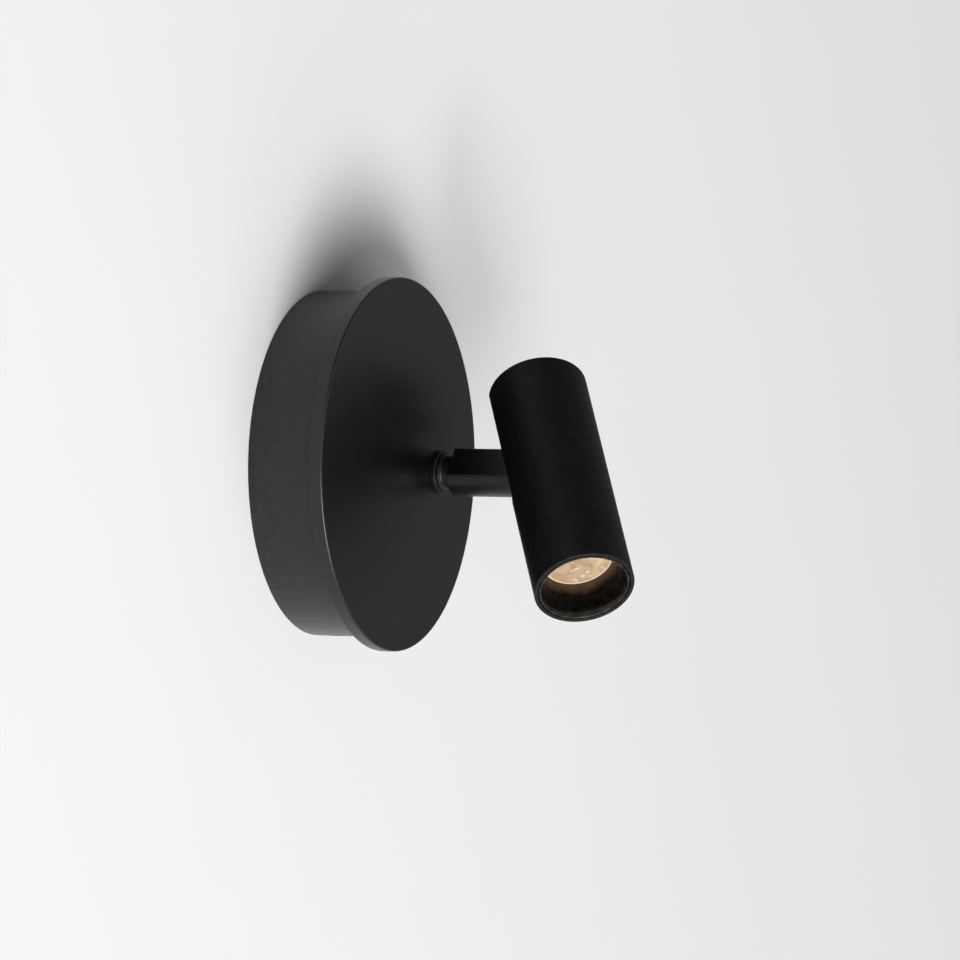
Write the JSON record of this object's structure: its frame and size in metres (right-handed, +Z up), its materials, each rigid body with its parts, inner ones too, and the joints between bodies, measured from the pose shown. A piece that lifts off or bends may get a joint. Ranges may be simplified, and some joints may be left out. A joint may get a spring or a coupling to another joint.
{
  "type": "wall spotlight",
  "caption": "Wall spotlight with a round base, a flat-sided arm that swivels off centre in the base's lid, and a tubular head that tilts on a hidden pin at the arm's end.",
  "frame": {"origin": "centre of the base's back and of the two wall screw holes, on the wall's surface", "axes": "+Y into the wall, -Y out into the room, +Z up, +X to the right as seen from the room"},
  "size_m": [0.1229, 0.1048, 0.12],
  "materials": {
    "bracket_steel": "zinc-plated pressed steel",
    "black_coat": "satin black powder coat",
    "black_anodised": "fine satin black",
    "swivel_metal": "satin black, turned",
    "screw_steel": "zinc-plated steel",
    "black_screw": "blackened steel",
    "rubber_black": "matt rubber",
    "terminal_plastic": "natural nylon",
    "terminal_brass": "turned brass",
    "driver_plastic": "white flame-retardant plastic",
    "circuit_board": "green laminate",
    "lead_sheath": "soft black sheath",
    "nylon": "natural nylon",
    "bare_aluminium": "turned aluminium",
    "light_board": "white solder mask on aluminium",
    "phosphor": "yellow phosphor",
    "holder_plastic": "black moulded plastic",
    "lens_clear": "clear moulded acrylic",
    "matt_black": "matt black"
  },
  "bodies": {
    "base": {"wall_bracket": "bracket_steel", "cable_grommet": "rubber_black", "earth_screw": "terminal_brass", "terminal_block": "terminal_plastic", "terminal_screws": "terminal_brass", "driver_case": "driver_plastic", "driver_cover": "driver_plastic", "driver_board": "circuit_board", "driver_screws": "screw_steel", "input_lead": "lead_sheath", "output_lead": "lead_sheath", "base_cup": "black_coat", "side_screws": "black_screw", "front_lid": "black_coat", "lid_screws": "screw_steel", "swivel_collar": "swivel_metal", "stop_pin": "screw_steel"},
    "arm": {"swivel_stem": "swivel_metal", "thrust_washer": "nylon", "stop_washer": "screw_steel", "disc_spring": "screw_steel", "swivel_nut": "terminal_brass", "arm": "black_anodised", "arm_lead": "lead_sheath"},
    "head": {"head_tube": "black_anodised", "pivot_yoke": "black_anodised", "pivot_pin": "screw_steel", "friction_washers": "nylon", "heat_sink": "bare_aluminium", "sink_screws": "screw_steel", "tube_screw": "black_screw", "head_lead": "lead_sheath", "led_board": "light_board", "board_screws": "screw_steel", "led_chip": "phosphor", "lens_holder": "holder_plastic", "lens": "lens_clear", "baffle": "matt_black", "front_ring": "matt_black"}
  },
  "joints": [
    {"name": "arm_swivel", "type": "hinge", "parent": "base", "child": "arm", "pos_m": [0.031, -0.0336, 0], "axis": [0, 1, 0], "range_deg": [-197.5, 132.5]},
    {"name": "head_tilt", "type": "hinge", "parent": "arm", "child": "head", "pos_m": [0.031, -0.0691, 0], "axis": [-0.8434, 0, 0.5373], "range_deg": [-25.3, 64.7]}
  ]
}
